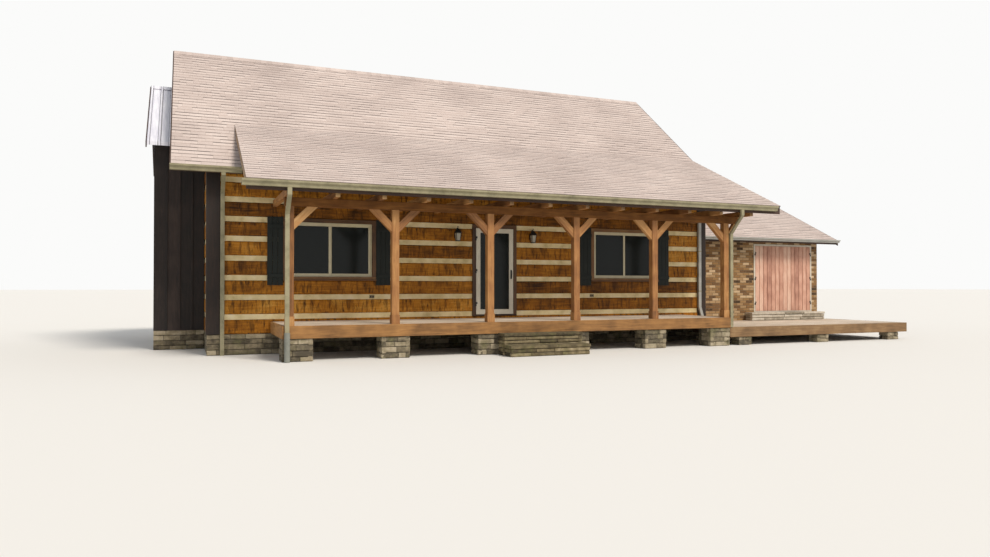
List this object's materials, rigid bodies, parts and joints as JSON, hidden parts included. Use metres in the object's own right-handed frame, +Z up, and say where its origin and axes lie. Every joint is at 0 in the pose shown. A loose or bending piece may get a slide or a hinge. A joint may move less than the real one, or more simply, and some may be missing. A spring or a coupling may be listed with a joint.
{
  "type": "log cabin",
  "caption": "Log house with a long timber porch under a shingle roof, a dark boarded annex under ribbed metal and a low brick wing with double doors.",
  "frame": {"origin": "bottom centre of the building's box, at the level where the foundation and piers meet the ground", "axes": "+X to the right along the front wall, +Y from the porch towards the back wall, +Z up"},
  "size_m": [19.48, 11.395, 7.5612],
  "materials": {
    "fieldstone": "rough laid fieldstone",
    "hewn_logs": "oiled, hewn with an adze",
    "chinking": "smooth mortar",
    "interior_floor": "worn boards",
    "dark_boards": "black-brown stain",
    "corner_boards": "dark stain",
    "shingles": "mineral granules on asphalt",
    "ribbed_metal": "pale paint, satin",
    "window_casing": "brown stain",
    "window_sash": "cream paint",
    "window_glass": "clear",
    "lantern_glass": "clear",
    "shutter_paint": "dark green-black paint",
    "storm_door_white": "off-white enamel",
    "black_metal": "black paint",
    "porch_timber": "oiled sawn timber",
    "roof_framing": "sawn softwood",
    "deck_boards": "weathered",
    "deck_rim": "reddish brown stain",
    "trim_boards": "brown stain",
    "gutter_metal": "olive-cream paint",
    "brick": "mixed pinkish tan brick with pale mortar",
    "maroon_boards": "maroon paint",
    "wing_frame_wood": "brown paint",
    "concrete_floor": "floated",
    "step_stone": "mossy sandstone"
  },
  "bodies": {
    "house": {"foundation_long_walls": "fieldstone", "foundation_end_walls": "fieldstone", "main_floor": "interior_floor", "front_wall_logs": "hewn_logs", "back_wall_logs": "hewn_logs", "end_wall_logs": "hewn_logs", "wall_chinking": "chinking", "corner_posts": "corner_boards", "boarded_gables": "dark_boards", "main_roof_front": "shingles", "main_roof_back": "shingles", "ridge_caps": "shingles", "window_casings": "window_casing", "window_sashes": "window_sash", "window_glass": "window_glass", "shutters": "shutter_paint", "front_door_casing": "window_casing", "wall_lanterns": "black_metal", "lantern_glass": "lantern_glass", "decking": "deck_boards", "deck_front_rims": "deck_rim", "deck_side_rims": "deck_rim", "deck_joists": "roof_framing", "stone_piers": "fieldstone", "porch_posts": "porch_timber", "porch_beam": "porch_timber", "porch_braces": "porch_timber", "porch_joists": "roof_framing", "porch_rafters": "roof_framing", "porch_roof": "shingles", "stone_steps": "step_stone", "annex_side_walls": "dark_boards", "annex_end_wall": "dark_boards", "annex_roof_front": "ribbed_metal", "annex_roof_back": "ribbed_metal", "annex_ridge_flashing": "ribbed_metal", "wing_front_wall": "brick", "wing_door_lintel": "brick", "wing_end_wall": "brick", "wing_back_wall": "brick", "wing_floor": "concrete_floor", "wing_roof_front": "shingles", "wing_roof_back": "shingles", "wing_door_frame": "wing_frame_wood", "jamb_hinge_knuckles": "black_metal", "gutters": "gutter_metal", "fascia_boards": "trim_boards", "rake_boards": "trim_boards", "downspouts": "gutter_metal"},
    "storm_door": {"storm_door_frame": "storm_door_white", "storm_door_glass": "window_glass", "storm_door_handle": "black_metal", "storm_door_hinges": "black_metal"},
    "wing_left_leaf": {"wing_left_door": "maroon_boards", "wing_left_hinges": "black_metal"},
    "wing_right_leaf": {"wing_right_door": "maroon_boards", "wing_right_hinges": "black_metal"}
  },
  "joints": [
    {"name": "storm_door_hinge", "type": "hinge", "parent": "house", "child": "storm_door", "pos_m": [-2.4165, -2.9755, 1.8325], "axis": [0, 0, -1], "range_deg": [0, 100]},
    {"name": "wing_left_door_hinge", "type": "hinge", "parent": "house", "child": "wing_left_leaf", "pos_m": [6.8685, -2.1505, 1.7075], "axis": [0, 0, -1], "range_deg": [0, 105]},
    {"name": "wing_right_door_hinge", "type": "hinge", "parent": "house", "child": "wing_right_leaf", "pos_m": [9.0215, -2.1505, 1.7075], "axis": [0, 0, 1], "range_deg": [0, 105]}
  ]
}
